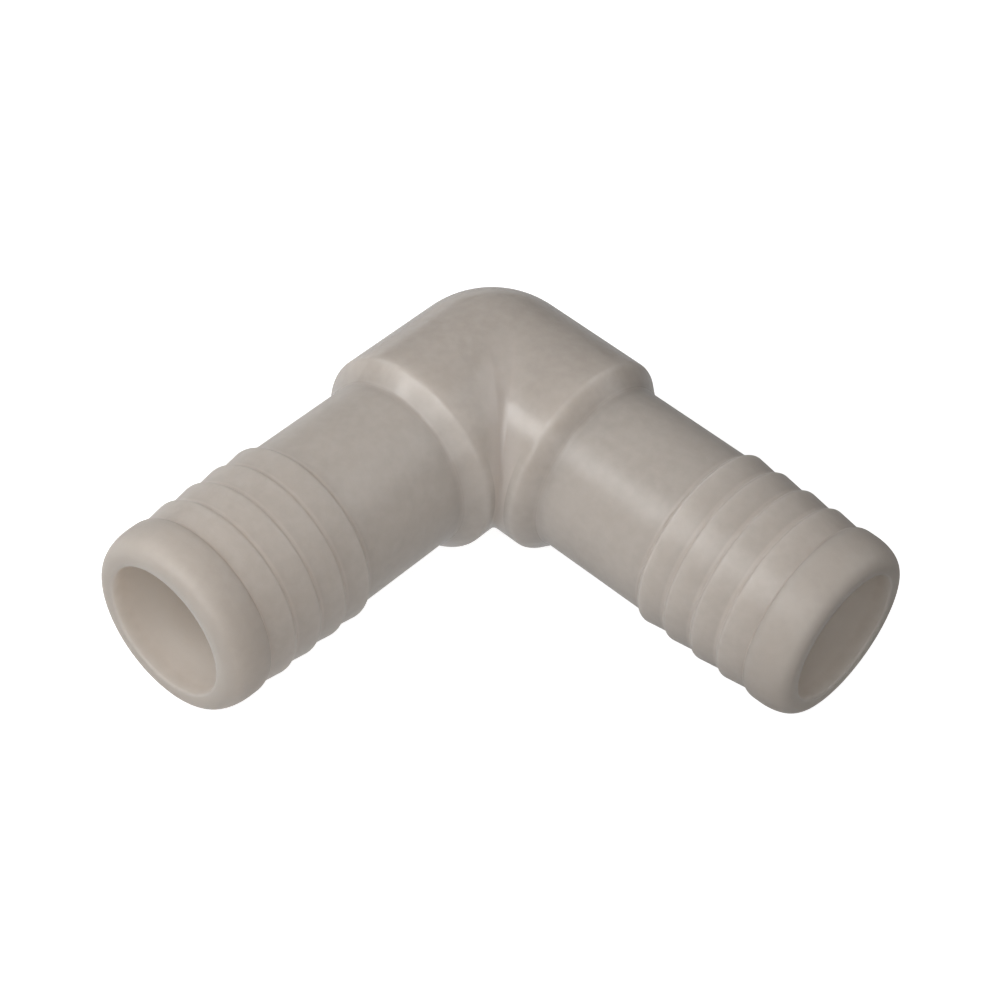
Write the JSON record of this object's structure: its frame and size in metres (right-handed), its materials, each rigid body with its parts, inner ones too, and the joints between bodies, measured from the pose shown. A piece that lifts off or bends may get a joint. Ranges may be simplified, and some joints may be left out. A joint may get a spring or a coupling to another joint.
{
  "type": "barbed hose elbow",
  "caption": "One-piece moulded plastic 90 degree elbow with a thick hub and a barbed spigot on each leg, joining two hoses at a right angle.",
  "frame": {"origin": "where the two bore axes cross, inside the hub", "axes": "+X out of one mouth, -Y out of the other, +Z square to the plane of both legs"},
  "size_m": [0.0805, 0.0805, 0.031],
  "materials": {
    "natural_nylon": "natural, uncoloured nylon moulding: warm grey, slightly translucent, with a soft satin sheen"
  },
  "bodies": {
    "root": {"elbow_body": "natural_nylon"}
  },
  "joints": []
}
